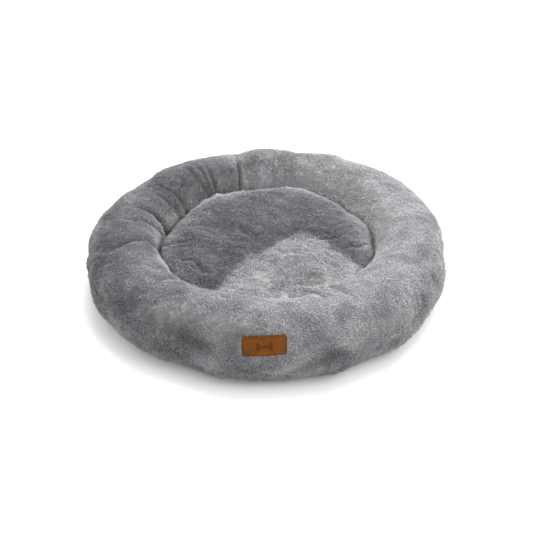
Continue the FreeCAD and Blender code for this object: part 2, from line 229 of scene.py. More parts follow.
def azimuths(co):
    return np.degrees(np.arctan2(co[:, 1], co[:, 0])) % 360


def gapTo(azimuth, other):
    return (azimuth - other + 180) % 360 - 180


def bell(x, width):
    return np.exp(-(x / width) ** 2)


def ease(x, low, high):
    t = np.clip((x - low) / (high - low), 0, 1)
    return t * t * (3 - 2 * t)


# The sum of soft bumps round the ring: each is (azimuth, half width in degrees, height).
def bumps(azimuth, table):
    return sum(height * bell(gapTo(azimuth, middle), width) for middle, width, height in table)


def cloudy(co, scale, octaves, offset):
    shift = Vector((offset, offset * 0.37, -offset * 0.61))
    return np.array([noise.fractal(Vector(p) * scale + shift, 0.9, 2.0, octaves) for p in co])


# ---- cloth: a skin swells against its pinned points, and no point moves further than a cap ----
def swollen(mesh, pins, s):
    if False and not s.get("always"):
        return mesh
    puff = bpy.data.objects.new("puff", mesh.copy())
    scene.collection.objects.link(puff)
    group = puff.vertex_groups.new(name="pins")
    slack = puff.vertex_groups.new(name="slack")
    for index, (pin, loose) in enumerate(pins):
        if pin > 0.01:
            group.add([index], float(pin), "REPLACE")
        if loose > 0.01:
            slack.add([index], float(loose), "REPLACE")
    cloth = puff.modifiers.new("cloth", "CLOTH")
    cloth.point_cache.frame_start = 1
    cloth.point_cache.frame_end = s["frames"]
    how = cloth.settings
    how.quality = s["quality"]
    how.mass = s["mass"]
    how.tension_stiffness = how.compression_stiffness = s["stretch"]
    how.shear_stiffness = s["shear"]
    how.bending_stiffness = s["bend"]
    how.use_pressure = True
    how.uniform_pressure_force = s["pressure"]
    how.effector_weights.gravity = 0
    how.vertex_group_mass = "pins"
    how.shrink_min = 0
    how.shrink_max = -s["slack"]
    how.vertex_group_shrink = "slack"
    before = positions(mesh)
    for step in range(1, s["frames"] + 1):
        scene.frame_set(step)
    after = positions(evaluated(puff, "puffed"))
    scene.frame_set(1)
    bpy.data.objects.remove(puff)
    move = after - before
    length = np.linalg.norm(move, axis=1, keepdims=True) + 1e-12
    setPositions(mesh, before + move * np.minimum(1, s["cap"] / length))
    print("swollen", mesh.name, "mean move mm", round(float(length.mean()) * 1000, 2))
    return mesh


# ---- bolster: the stuffed ring ----
bolster = {
    "pile": 0.0036,               # the skin lies this far under the tips of the pile
    "crestCorner": 0.050,
    "footCorner": 0.042,
    "panelLap": 0.004,
    "step": 0.0052,               # along the section
    "turns": 320,                 # round the ring
    "middleHeight": 0.055,
    # soft bumps round the ring, as (azimuth, half width in degrees, metres)
    "outward": [(152, 20, -0.005), (112, 14, -0.002), (31, 19, 0.011), (61, 7, 0.010), (247, 7, -0.004),
                (262, 30, 0.003), (208, 8, 0.007), (191, 6, -0.004), (231, 8, 0.006), (289, 5, 0.005),
                (309, 8, 0.007), (92, 6, 0.003), (337, 8, 0.003), (12, 8, 0.003), (138, 7, 0.003)],
    "narrower": [(208, 20, 0.013), (255, 12, 0.009), (270, 8, 0.006), (289, 7, -0.006), (312, 18, 0.010),
                 (60, 25, 0.002)],
    "higher": [(90, 9, 0.004), (48, 18, 0.006), (76, 7, -0.003), (103, 7, -0.004), (155, 22, -0.003),
               (124, 10, 0.002), (300, 20, 0.001)],
    # sewn-in and crushed creases over the crest and the inner wall: azimuth at the crest, azimuth at the
    # floor, first and last section angle (90 at the crest, 180 at the inner wall), depth, half width
    "creases": [
        (104.5, 106.5, 96, 215, 0.0095, 0.0036),
        (86.2, 87.6, 74, 215, 0.0030, 0.0026),
        (125.8, 122.2, 108, 195, 0.0070, 0.0034),
        (121.2, 120.2, 114, 205, 0.0075, 0.0032),
        (131.5, 126.0, 100, 170, 0.0045, 0.0042),
        (149.0, 142.0, 104, 195, 0.0042, 0.0034),
        (156.0, 149.0, 120, 190, 0.0030, 0.0040),
        (171.0, 162.0, 104, 205, 0.0075, 0.0050),
        (182.0, 170.0, 108, 178, 0.0050, 0.0040),
        (203.0, 186.0, 60, 205, 0.0095, 0.0085),
        (197.0, 205.0, 16, 66, -0.0035, 0.0090),
        (41.0, 43.0, 110, 205, 0.0022, 0.0060),
        (20.0, 22.0, 120, 200, 0.0014, 0.0070),
        (336.0, 330.0, 108, 205, 0.0025, 0.0070),
        (289.5, 291.0, 92, 165, 0.0045, 0.0036),
        (298.0, 296.0, 96, 160, 0.0040, 0.0045),
        (229.0, 232.0, 100, 190, 0.0045, 0.0056),
    ],
    # broad dents and swellings of the filling: azimuth, section angle, height, half widths
    "lumps": [
        (212, 55, 0.004, 14, 40), (247, 42, -0.004, 8, 26), (262, 70, 0.002, 10, 30),
        (284, 40, -0.0045, 8, 26), (305, 60, 0.003, 12, 40), (334, 62, -0.004, 8, 26),
        (2, 70, 0.0030, 10, 40), (30, 90, -0.0025, 9, 40), (75, 110, 0.003, 9, 40),
        (96, 120, 0.005, 6, 50), (113, 130, 0.005, 5, 50), (137, 120, 0.0035, 8, 45),
        (160, 110, 0.004, 8, 45), (186, 100, 0.002, 9, 40), (205, 0, -0.003, 7, 35),
        (265, -15, -0.003, 7, 18), (302, 10, -0.003, 6, 20),
    ],
    "cloudScale": 9, "cloudHeight": 0.0042,
    "fineScale": 42, "fineHeight": 0.0015,
    "grainScale": 130, "grainHeight": 0.0018,
    "cloth": {"frames": 16, "quality": 5, "mass": 0.12, "stretch": 15, "shear": 5, "bend": 0.25,
              "pressure": 30, "slack": 0.07, "cap": 0.008},
    "fill": 0.75,
}
coverLow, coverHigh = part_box("bolster_cover")
floorLow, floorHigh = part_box("floor_panel")
ringOuter = coverHigh.x - bolster["pile"]
ringTop = coverHigh.z - bolster["pile"]
ringFoot = coverLow.z + 0.001
ringInner = floorHigh.x - 0.001
ringMiddle = (ringOuter + ringInner) / 2


# The bolster's outline, or one that lies inside it. With a floor height, it is closed under the filling.
def bolsterSection(s, inset=0.0, floorAt=None):
    crest = s["crestCorner"] - s["pile"] - inset
    foot = s["footCorner"] - s["pile"] - inset
    outer = ringOuter - inset
    inner = ringInner + inset
    top = ringTop - inset
    low = ringFoot if floorAt is None else floorAt
    points = joined(
        linePoints((outer - foot - s["panelLap"], low), (outer - foot, low), s["step"]),
        arcPoints((outer - foot, low + foot), foot, -90, 0, s["step"]),
        arcPoints((outer - crest, top - crest), crest, 0, 90, s["step"]),
        arcPoints((inner + crest, top - crest), crest, 90, 180, s["step"]),
        linePoints((inner, top - crest), (inner, floorHigh.z if floorAt is None else low), s["step"]))
    if floorAt is not None:
        points = joined(points, linePoints((inner, low), points[0], s["step"]))
    return points


# Where each point is on the ring: its azimuth, and its angle round the section from outward over the crest.
def ringPlaces(co, s):
    radius = np.hypot(co[:, 0], co[:, 1])
    section = np.degrees(np.arctan2(co[:, 2] - s["middleHeight"], radius - ringMiddle))
    section = np.where(section < -90, section + 360, section)
    return azimuths(co), radius, section


# How deep each point lies in the creases, and how far inside one it is, from 0 to 1.
def creaseDepths(co, s):
    azimuth, radius, section = ringPlaces(co, s)
    total = np.zeros(len(co))
    deepest = np.zeros(len(co))
    for atCrest, atFloor, first, last, depth, width in s["creases"]:
        along = np.clip((section - first) / (last - first), 0, 1)
        line = atCrest + (atFloor - atCrest) * along
        across = np.radians(gapTo(azimuth, line)) * radius
        window = ease(section, first - 14, first + 8) * (1 - ease(section, last - 6, last + 14))
        valley = bell(across, width) - 0.25 * bell(np.abs(across) - 2.6 * width, 1.5 * width)
        total += depth * window * valley
        deepest = np.maximum(deepest, window * bell(across, width * 0.8) * min(1, depth / 0.006))
    return total, deepest


def shapeBolster(co, s):
    azimuth, radius, section = ringPlaces(co, s)
    out = ease(radius, ringMiddle - 0.01, ringOuter - 0.004) * ease(co[:, 2], 0, 0.03)
    inn = ease(-radius, -ringMiddle, -ringInner - 0.006) * ease(co[:, 2], 0.045, 0.085)
    top = ease(co[:, 2], s["middleHeight"], ringTop)
    grown = radius + out * bumps(azimuth, s["outward"]) - inn * bumps(azimuth, s["narrower"])
    height = co[:, 2] + top * bumps(azimuth, s["higher"])
    scale = grown / radius
    return np.stack([co[:, 0] * scale, co[:, 1] * scale, height], 1)


def makeBolster(s):
    mesh = spun("bolsterCover", bolsterSection(s), s["turns"], (ringMiddle, s["middleHeight"]))
    co = shapeBolster(positions(mesh), s)
    setPositions(mesh, co)
    valley, inside = creaseDepths(co, s)
    setPositions(mesh, co - normals(mesh) * valley[:, None])
    # the two sewn edges and the creases hold still, and the inner wall has cloth to spare
    azimuth, radius, section = ringPlaces(co, s)
    sewn = 1 - ease(co[:, 2], ringFoot + 0.001, ringFoot + 0.012)
    pins = np.clip(np.maximum(sewn, inside * 1.2), 0, 1)
    slack = (0.25 + 0.75 * ease(section, 80, 150)) * (1 - sewn)
    return swollen(mesh, list(zip(pins, slack)), s["cloth"])


def finishBolster(mesh, s):
    mesh = subdivided(mesh, 1)
    co = positions(mesh)
    azimuth, radius, section = ringPlaces(co, s)
    free = ease(co[:, 2], ringFoot + 0.002, ringFoot + 0.02)
    lift = s["cloudHeight"] * cloudy(co, s["cloudScale"], 3, 3.1)
    for middle, at, height, wide, tall in s["lumps"]:
        lift += height * bell(gapTo(azimuth, middle), wide) * bell(section - at, tall)
    lift += s["fineHeight"] * cloudy(co, s["fineScale"], 2, 8.7)
    lift += s["grainHeight"] * cloudy(co, s["grainScale"], 2, 9.9) * (1 - ease(section, 30, 80))
    setPositions(mesh, co + normals(mesh) * (lift * free)[:, None])
    return mesh


bolsterMesh = finishBolster(makeBolster(bolster), bolster)
print("bolster skin", len(bolsterMesh.polygons), "faces")


# ---- cushion: the loose plush pillow ----
cushion = {
    "pile": 0.0042,
    "shoulder": 0.016,
    "footCorner": 0.020,
    "step": 0.0042,
    "turns": 240,
    "rimWidth": 0.045,
    "hollow": 0.004,              # the middle lies this far under the rim
    "higher": [(70, 40, 0.011), (350, 30, 0.003), (165, 24, -0.006), (122, 20, 0.004), (20, 20, 0.004),
               (235, 30, -0.004)],
    "wrinkles": [                 # middle x, y, direction in degrees, length, half width, depth
        (0.106, -0.012, 20, 0.05, 0.0035, 0.0035), (0.150, -0.030, 35, 0.05, 0.0040, 0.0040),
        (0.060, -0.135, 10, 0.06, 0.0040, 0.0030), (-0.150, -0.010, 12, 0.07, 0.0035, 0.0030),
        (0.128, 0.030, 60, 0.05, 0.0040, 0.0030), (-0.110, -0.085, -40, 0.06, 0.0045, 0.0030),
        (-0.060, 0.150, 80, 0.03, 0.0035, 0.0025), (0.020, 0.158, 95, 0.03, 0.0035, 0.0025),
    ],
    "napBorder": [(-0.045, -0.075, 154), (0.022, -0.012, 124), (0.065, 0.015, 92), (0.090, -0.014, 43)],
    "cloudScale": 11, "cloudHeight": 0.0050,
    "fineScale": 55, "fineHeight": 0.0016,
    "cloth": {"frames": 14, "quality": 5, "mass": 0.25, "stretch": 16, "shear": 5, "bend": 0.5,
              "pressure": 2.4, "slack": 0.05, "cap": 0.006},
    "fill": 0.6,
}
cushionLow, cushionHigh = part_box("cushion_cover_top")
undersideLow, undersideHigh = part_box("cushion_cover_bottom")
cushionRadius = cushionHigh.x - cushion["pile"]
cushionTop = cushionHigh.z - cushion["pile"]


# Raises the rim by azimuth and sinks the middle, more the higher a point is.
def raiseCushion(co, s, bottom):
    azimuth = azimuths(co)
    radius = np.hypot(co[:, 0], co[:, 1])
    rise = ease(co[:, 2], bottom, cushionTop)
    rim = bell(radius - (cushionRadius - s["rimWidth"] * 0.6), s["rimWidth"])
    co[:, 2] += rise * (bumps(azimuth, s["higher"]) * ease(radius, 0.04, 0.15) - s["hollow"] * (1 - rim))
    return co


def makeCushionTop(s):
    seam = cushionLow.z
    shoulder = s["shoulder"]
    section = joined(
        linePoints((cushionRadius, seam), (cushionRadius, cushionTop - shoulder), s["step"]),
        arcPoints((cushionRadius - shoulder, cushionTop - shoulder), shoulder, 0, 90, s["step"]),
        linePoints((cushionRadius - shoulder, cushionTop), (0, cushionTop), s["step"]))
    mesh = spun("cushionTop", section, s["turns"], (0.1, seam))
    co = raiseCushion(positions(mesh), s, seam)
    setPositions(mesh, co)
    pins = 1 - ease(co[:, 2], seam + 0.002, seam + 0.012)
    return swollen(mesh, list(zip(pins, 1 - pins)), s["cloth"])


def finishCushion(mesh, s):
    mesh = subdivided(mesh, 1)
    co = positions(mesh)
    free = ease(co[:, 2], cushionLow.z + 0.001, cushionLow.z + 0.014)
    lift = s["cloudHeight"] * cloudy(co, s["cloudScale"], 3, 5.3)
    for x, y, turn, length, width, depth in s["wrinkles"]:
        c, d = math.cos(math.radians(turn)), math.sin(math.radians(turn))
        along = (co[:, 0] - x) * c + (co[:, 1] - y) * d
        across = (co[:, 1] - y) * c - (co[:, 0] - x) * d + 0.004 * np.sin(along * 120)
        valley = bell(across, width) - 0.3 * bell(np.abs(across) - 2.4 * width, 1.4 * width)
        lift -= depth * valley * bell(along, length / 2)
    lift += s["fineHeight"] * cloudy(co, s["fineScale"], 2, 1.9)
    setPositions(mesh, co + normals(mesh) * (lift * free)[:, None])
    return mesh


cushionMesh = finishCushion(makeCushionTop(cushion), cushion)
print("cushion skin", len(cushionMesh.polygons), "faces")


# ---- finishes ----
class Finish:
    # A material's nodes, with short ways to add and join them.
    def __init__(self, name):
        self.material = bpy.data.materials.new(name)
        self.material.use_nodes = True
        self.tree = self.material.node_tree
        self.shader = self.tree.nodes["Principled BSDF"]
        self.place = self.node("ShaderNodeTexCoord").outputs["Object"]

    def node(self, kind, values=(), **settings):
        made = self.tree.nodes.new(kind)
        for key, value in settings.items():
            setattr(made, key, value)
        for key, value in dict(values).items():
            if isinstance(value, bpy.types.NodeSocket):
                self.tree.links.new(value, made.inputs[key])
            else:
                made.inputs[key].default_value = value
        return made

    def maths(self, operation, a, b=0.0, c=0.0):
        return self.node("ShaderNodeMath", {0: a, 1: b, 2: c}, operation=operation).outputs[0]

    def cloud(self, scale, detail=3, roughness=0.5):
        return self.node("ShaderNodeTexNoise", {"Vector": self.place, "Scale": scale, "Detail": detail,
                                                "Roughness": roughness}).outputs["Fac"]

    def ramp(self, value, colours):
        ramp = self.node("ShaderNodeValToRGB", {"Fac": value})
        while len(ramp.color_ramp.elements) < len(colours):
            ramp.color_ramp.elements.new(0.5)
        for element, (n, colour) in zip(ramp.color_ramp.elements, enumerate(colours)):
            element.position = n / (len(colours) - 1)
            element.color = (*colour, 1)
        return ramp.outputs["Color"]

    def colour(self, socket):
        self.tree.links.new(socket, self.shader.inputs["Base Color"])

    def bump(self, height, strength, distance):
        bump = self.node("ShaderNodeBump", {"Height": height, "Strength": strength, "Distance": distance})
        self.tree.links.new(bump.outputs["Normal"], self.shader.inputs["Normal"])

    def set(self, **values):
        for key, value in values.items():
            self.shader.inputs[key.replace("_", " ")].default_value = value


plush = {
    # from dark to light: painted shade to painted light, and the pile's sheen painted in, from the pile seen
    # end-on, dark, to the pile laid flat, light
    "dark": (0.105, 0.1045, 0.114),
    "light": (0.70, 0.70, 0.712),
    "toneCount": 15,
    "roughness": 0.85,
    "sheen": 0.15,
    "sheenRoughness": 0.5,
}


def plushTones(s):
    steps = [n / (s["toneCount"] - 1) for n in range(s["toneCount"])]
    return [tuple(d * (b / d) ** t for d, b in zip(s["dark"], s["light"])) for t in steps]


def setPlush(finish, s):
    finish.set(Roughness=s["roughness"], Sheen_Weight=s["sheen"], Sheen_Roughness=s["sheenRoughness"],
               Specular_IOR_Level=0.2)


# The skin under the pile: its tone is read from the piece's own "shade".
def skinFinish(name, s):
    finish = Finish(name)
    setPlush(finish, s)
    shade = finish.node("ShaderNodeAttribute", attribute_name="shade").outputs["Fac"]
    grain = finish.maths("MULTIPLY_ADD", finish.cloud(260), 0.2, shade)
    finish.colour(finish.ramp(finish.maths("SUBTRACT", grain, 0.1), plushTones(s)))
    finish.bump(finish.cloud(900, 4), 0.35, 0.0012)
    return finish.material


# One plain copy of the plush for each tone, from painted shade to painted light.
def toneFinishes(s):
    made = []
    for n, tone in enumerate(plushTones(s)):
        finish = Finish(f"pileTone{n}")
        setPlush(finish, s)
        finish.set(Base_Color=(*tone, 1))
        made.append(finish.material)
    return made


# Woven, knitted or pressed cloth: two sets of threads at right angles, with cloudy colour.
def clothFinish(name, dark, light, threads, strength=0.5, roughness=0.85, sheen=0.2, stretch=1.0):
    finish = Finish(name)
    finish.set(Roughness=roughness, Sheen_Weight=sheen, Specular_IOR_Level=0.3)
    over = finish.node("ShaderNodeTexWave", {"Vector": finish.place, "Scale": threads, "Distortion": 0.4,
                                             "Detail": 1.0, "Detail Scale": 4.0}, bands_direction="X")
    under = finish.node("ShaderNodeTexWave", {"Vector": finish.place, "Scale": threads * stretch,
                                              "Distortion": 0.4, "Detail": 1.0, "Detail Scale": 4.0},
                        bands_direction="Y")
    weave = finish.maths("MAXIMUM", over.outputs["Fac"], under.outputs["Fac"])
    tone = finish.maths("MULTIPLY_ADD", finish.cloud(14, 4), 0.45, finish.maths("MULTIPLY", weave, 0.55))
    finish.colour(finish.ramp(tone, [dark, dark, light]))
    finish.bump(weave, strength, 0.0004)
    return finish.material


def fibreFinish(name, colour):
    finish = Finish(name)
    finish.set(Roughness=0.95, Sheen_Weight=0.4, Specular_IOR_Level=0.2)
    wool = finish.cloud(120, 6, 0.7)
    dim = tuple(0.72 * c for c in colour)
    finish.colour(finish.ramp(wool, [dim, colour, colour]))
    finish.bump(wool, 0.8, 0.002)
    return finish.material


def metalFinish(name, dark, light):
    finish = Finish(name)
    finish.set(Metallic=1.0)
    worn = finish.cloud(420, 5, 0.65)
    finish.colour(finish.ramp(worn, [dark, light]))
    rough = finish.maths("MULTIPLY_ADD", worn, 0.3, 0.22)
    finish.tree.links.new(rough, finish.shader.inputs["Roughness"])
    finish.bump(finish.cloud(1500, 2), 0.15, 0.0002)
    return finish.material


def nylonFinish(name, dark, light):
    finish = Finish(name)
    finish.set(Roughness=0.42, Specular_IOR_Level=0.5)
    finish.colour(finish.ramp(finish.cloud(300, 3), [dark, light]))
    finish.bump(finish.cloud(1800, 2), 0.25, 0.0002)
    return finish.material


def leatherFinish(name):
    finish = Finish(name)
    finish.set(Roughness=0.6, Specular_IOR_Level=0.1)
    cells = finish.node("ShaderNodeTexVoronoi", {"Vector": finish.place, "Scale": 620.0, "Randomness": 0.9},
                        feature="DISTANCE_TO_EDGE").outputs["Distance"]
    pebble = finish.maths("MINIMUM", finish.maths("MULTIPLY", cells, 3.5), 1.0)
    worn = finish.node("ShaderNodeAttribute", attribute_name="worn").outputs["Fac"]
    tone = finish.maths("ADD", finish.maths("MULTIPLY", finish.cloud(45, 4), 0.5),
                        finish.maths("MULTIPLY", worn, 0.62))
    finish.colour(finish.ramp(tone, [(0.018, 0.007, 0.002), (0.060, 0.020, 0.002), (0.128, 0.038, 0.002),
                                     (0.190, 0.060, 0.007)]))
    finish.bump(pebble, 0.35, 0.0003)
    return finish.material


finishes = {
    "bolster_plush": skinFinish("plushSkin", plush),
    "fibre": fibreFinish("polyesterFibre", (0.80, 0.80, 0.79)),
    "backing_cloth": clothFinish("knitBacking", (0.19, 0.19, 0.20), (0.33, 0.33, 0.345), 380),
    "base_cloth": clothFinish("baseCloth", (0.050, 0.051, 0.056), (0.105, 0.106, 0.115), 260, 0.6),
    "floor_cloth": clothFinish("floorCloth", (0.17, 0.17, 0.18), (0.30, 0.30, 0.315), 330),
    "underside_cloth": clothFinish("undersideCloth", (0.15, 0.15, 0.16), (0.27, 0.27, 0.285), 300),
    "bag_cloth": clothFinish("bagCloth", (0.62, 0.62, 0.61), (0.80, 0.80, 0.79), 420, 0.35),
    "zip_tape": clothFinish("zipTape", (0.11, 0.11, 0.12), (0.22, 0.22, 0.235), 520, 0.7, 0.8, 0.1, 0.45),
    "care_cloth": clothFinish("careSatin", (0.66, 0.66, 0.65), (0.82, 0.82, 0.81), 700, 0.25, 0.5, 0.3, 0.5),
    "dot_rubber": nylonFinish("dotRubber", (0.20, 0.20, 0.21), (0.30, 0.30, 0.31)),
    "zip_coil": nylonFinish("coilNylon", (0.10, 0.10, 0.11), (0.19, 0.19, 0.20)),
    "label_thread": nylonFinish("labelThread", (0.022, 0.009, 0.004), (0.060, 0.023, 0.008)),
    "label_leather": leatherFinish("tanLeather"),
    "zip_metal": metalFinish("zipMetal", (0.30, 0.30, 0.31), (0.62, 0.62, 0.63)),
}
finishes["cushion_plush"] = finishes["bolster_plush"]


def addFinished(name, mesh, body, slotName, *nodes):
    mesh.materials.clear()
    mesh.materials.append(finishes[slotName])
    return addPiece(name, smoothed(mesh), body, slotName, *nodes)


# ---- pile: closed three-sided tufts grown on a skin ----
bolsterPile = {"density": 560000, "tuftRadius": 0.00088, "tuftLength": 0.0035, "spread": 0.45, "lean": 0.25,
               "flowScale": 7, "clump": 0.35, "clumpScale": 260, "floorFade": 0.002}
cushionPile = {"density": 640000, "tuftRadius": 0.00085, "tuftLength": 0.0041, "spread": 0.50, "lean": 0.25,
               "flowScale": 9, "clump": 0.45, "clumpScale": 220, "floorFade": 0.002}


# One node group grows the tufts of one tone, as thick as the skin's "toneShare" says.
def pileGroup(name, s, seed):
    tree = bpy.data.node_groups.new(name, "GeometryNodeTree")
    tree.interface.new_socket("Geometry", in_out="INPUT", socket_type="NodeSocketGeometry")
    tree.interface.new_socket("Geometry", in_out="OUTPUT", socket_type="NodeSocketGeometry")
    link = tree.links.new

    def node(kind, values=(), **settings):
        made = tree.nodes.new(kind)
        for key, value in settings.items():
            setattr(made, key, value)
        for key, value in dict(values).items():
            if isinstance(value, bpy.types.NodeSocket):
                link(value, made.inputs[key])
            else:
                made.inputs[key].default_value = value
        return made

    def named(attribute, kind):
        made = node("GeometryNodeInputNamedAttribute", data_type=kind)
        made.inputs["Name"].default_value = attribute
        return made.outputs["Attribute"]

    def randomly(kind, low, high, extra):
        made = node("FunctionNodeRandomValue", data_type=kind)
        for socket in made.inputs:
            if socket.enabled and socket.name == "Min":
                socket.default_value = low
            if socket.enabled and socket.name == "Max":
                socket.default_value = high
            if socket.name == "Seed":
                socket.default_value = seed + extra
        return next(o for o in made.outputs if o.enabled)

    start = node("NodeGroupInput")
    density = node("ShaderNodeMath", {0: named("toneShare", "FLOAT"), 1: s["density"]}, operation="MULTIPLY")
    scatter = node("GeometryNodeDistributePointsOnFaces", {"Mesh": start.outputs[0], "Seed": seed,
                                                           "Density": density.outputs[0]})
    tuft = node("GeometryNodeMeshCone", {"Vertices": 3, "Radius Top": 0.0, "Radius Bottom": s["tuftRadius"],
                                         "Depth": s["tuftLength"]}, fill_type="NGON")
    spread = randomly("FLOAT_VECTOR", (-s["spread"],) * 3, (s["spread"],) * 3, 1)
    lean = node("ShaderNodeVectorMath", {0: named("nap", "FLOAT_VECTOR"), 1: spread}, operation="ADD")
    aim = node("ShaderNodeVectorMath", {0: scatter.outputs["Normal"], 1: lean.outputs[0]}, operation="ADD")
    turn = node("FunctionNodeAlignRotationToVector", {"Vector": aim.outputs[0]}, axis="Z")
    size = node("ShaderNodeMath", {0: named("loft", "FLOAT"), 1: randomly("FLOAT", 0.75, 1.2, 2)},
                operation="MULTIPLY")
    plant = node("GeometryNodeInstanceOnPoints", {"Points": scatter.outputs["Points"],
                                                  "Instance": tuft.outputs["Mesh"],
                                                  "Rotation": turn.outputs["Rotation"],
                                                  "Scale": size.outputs[0]})
    real = node("GeometryNodeRealizeInstances", {"Geometry": plant.outputs["Instances"]})
    link(real.outputs["Geometry"], node("NodeGroupOutput").inputs[0])
    return tree


toneBlend = 3.0                   # a tuft strays from its place's tone by up to this many


# Splits the shade between the tones, and grows one piece of pile for each tone.
def growPile(label, mesh, body, slotName, s, tones, seed, lowest):
    shade = getAttribute(mesh, "shade")
    bare = getAttribute(mesh, "bare")
    last = len(tones) - 1
    for n, material in enumerate(tones):
        share = np.clip(1 - np.abs(np.clip(shade, 0, 1) * last - n) / toneBlend, 0, 1) / toneBlend * (1 - bare)
        if share.sum() < 40:
            continue
        setAttribute(mesh, "toneShare", share)
        holder = bpy.data.objects.new("holder", mesh)
        scene.collection.objects.link(holder)
        holder.modifiers.new("pile", "NODES").node_group = pileGroup(f"{label}{n}", s, seed + 10 * n)
        pile = smoothed(evaluated(holder, f"{label}{n}"))
        bpy.data.objects.remove(holder)
        co = positions(pile)
        height = co[:, 2] - lowest
        flattened = s["floorFade"] * np.exp(np.minimum(height, s["floorFade"]) / s["floorFade"] - 1)
        co[:, 2] = lowest + np.where(height < s["floorFade"], flattened, height)
        setPositions(pile, co)
        pile.materials.clear()
        pile.materials.append(material)
        for extra in ("shade", "bare", "toneShare", "nap", "loft"):
            if extra in pile.attributes:
                pile.attributes.remove(pile.attributes[extra])
        addPiece(f"{label}{n}", pile, body, slotName)
        print(f"{label}{n}", len(pile.polygons), "faces")
    mesh.attributes.remove(mesh.attributes["toneShare"])


# The nap: which way the pile is brushed at each point, with small clumps that lean together.
def brushed(mesh, s, offset, flow):
    co = positions(mesh)
    up = normals(mesh)
    turn = cloudy(co, s["flowScale"], 2, offset) * 2.4
    along = flow - up * np.sum(up * flow, 1, keepdims=True)
    along /= np.linalg.norm(along, axis=1, keepdims=True) + 1e-9
    across = np.cross(up, along)
    clumpAlong = s["clump"] * cloudy(co, s["clumpScale"], 1, offset + 40)
    clumpAcross = s["clump"] * cloudy(co, s["clumpScale"], 1, offset + 80)
    return (along * (s["lean"] * np.cos(turn) + clumpAlong)[:, None] +
            across * (s["lean"] * np.sin(turn) + clumpAcross)[:, None])


# Light and dark patches, of the bolster's nap and of painted light and painted shade: azimuth, section angle, half
# widths, change of shade.
napAndLightPatches = [
    (30, 150, 42, 44, 0.30), (20, 174, 34, 18, 0.22), (100, 160, 40, 30, 0.22), (200, 168, 30, 20, 0.20),
    (150, 110, 18, 46, -0.28), (212, 92, 20, 34, -0.22), (186, 40, 10, 16, 0.26), (124, 98, 7, 18, 0.12),
    (249, 20, 5, 11, -0.34), (243, -8, 6, 12, -0.20), (265, -6, 5, 10, -0.36), (286, 3, 4, 10, -0.38),
    (268, -34, 34, 14, -0.12), (227, 30, 7, 20, -0.16), (214, 8, 5, 14, -0.14), (231, 50, 5, 10, -0.12),
    (246, 46, 7, 12, 0.12), (243, 68, 10, 18, 0.08), (262, 60, 9, 16, 0.20), (257, 2, 4, 14, 0.12),
    (274, -14, 4, 14, 0.14), (281, 14, 4, 12, 0.16), (298, 34, 10, 20, 0.24), (316, 95, 10, 40, 0.12),
    (338, 68, 6, 14, -0.14), (350, 62, 10, 26, -0.12), (352, 106, 4, 12, -0.20), (344, 112, 5, 10, -0.14),
    (30, 74, 14, 20, -0.15), (104, 95, 16, 24, 0.12), (125, 150, 8, 22, -0.10), (2, 40, 9, 18, -0.06),
    (304, -4, 5, 14, -0.10), (322, 22, 6, 14, -0.08), (292, 60, 4, 14, -0.12), (82, 100, 5, 20, -0.08),
    (91, 124, 3, 12, -0.14), (132, 127, 4, 16, -0.18), (197, 142, 5, 16, -0.16), (298, 76, 5, 12, -0.12),
    (190, 96, 6, 12, -0.12), (34, 168, 38, 14, 0.18), (216, 138, 9, 16, -0.20), (145, 140, 16, 16, -0.14),
    (180, 112, 14, 20, -0.10), (202, 78, 12, 20, -0.12), (252, -36, 6, 12, -0.20), (288, -36, 5, 10, -0.18),
    (292, 16, 7, 12, 0.12), (254, 38, 6, 10, 0.10), (270, 66, 12, 14, 0.08),
]


def shadeBolster(mesh, s):
    co = positions(mesh)
    azimuth, radius, section = ringPlaces(co, s)
    # lighter to the right: painted light from the right, together with the nap
    shade = 0.49 + 0.10 * co[:, 0] / ringOuter
    shade += 0.18 * cloudy(co, 8, 3, 21.0) + 0.17 * cloudy(co, 26, 3, 4.4)
    shade += 0.08 * cloudy(co, 80, 2, 14.4)
    # darker at the left and back, lighter at the right: painted shade and painted light, together with the nap
    shade += bumps(azimuth, [(195, 30, -0.06), (135, 25, -0.08), (60, 40, 0.04), (300, 30, 0.03)])
    # painted light on the crest, which faces up
    shade += 0.06 * bell(section - 88, 34)
    # painted shade near the floor
    shade -= 0.18 * (1 - ease(co[:, 2], 0.0, 0.036))
    # painted shade in the creases
    shade -= 0.30 * creaseDepths(co, s)[1]
    driftAlong = 3.0 * cloudy(co, 24, 2, 51.0)
    driftAcross = 9.0 * cloudy(co, 24, 2, 57.0)
    # the patches carry painted light and painted shade as well as the nap
    for at, up, wide, tall, amount in napAndLightPatches:
        shade += amount * bell(gapTo(azimuth + driftAlong, at), wide) * bell(section + driftAcross - up, tall)
    # the outer wall is coarser than the crest
    coarse = 1 - ease(section, 20, 70)
    shade += 0.16 * coarse * cloudy(co, 300, 1, 61.0)
    # the pile throws a shadow on the label's upper edge
    above = (co[:, 2] - labelHigh.z) / 0.004
    shade -= 0.45 * bell(above + 0.15, 0.45) * labelSpan(co)
    # painted light on the low inner wall, over the shade of the gap to the cushion
    shade += 0.20 * ease(section, 160, 180)
    # no spot is much lighter than the rest
    shade = np.where(shade > 0.62, 0.62 + 0.45 * (shade - 0.62), shade)
    shade = np.where(shade < 0.30, 0.30 + 0.75 * (shade - 0.30), shade)
    setAttribute(mesh, "shade", shade)
    hidden = 1 - ease(co[:, 2], 0.0045, 0.0085)
    setAttribute(mesh, "bare", np.clip(np.maximum(hidden, labelCover(co)), 0, 1))
    flow = np.stack([-co[:, 1], co[:, 0], np.full(len(co), -0.12)], 1)
    setAttribute(mesh, "nap", brushed(mesh, bolsterPile, 2.0, flow))
    bridging = ease(section, 158, 178) * (1 - ease(section, 200, 215))
    setAttribute(mesh, "loft", 0.95 + 0.35 * cloudy(co, 120, 2, 6.0) + 0.28 * coarse + 0.45 * bridging)


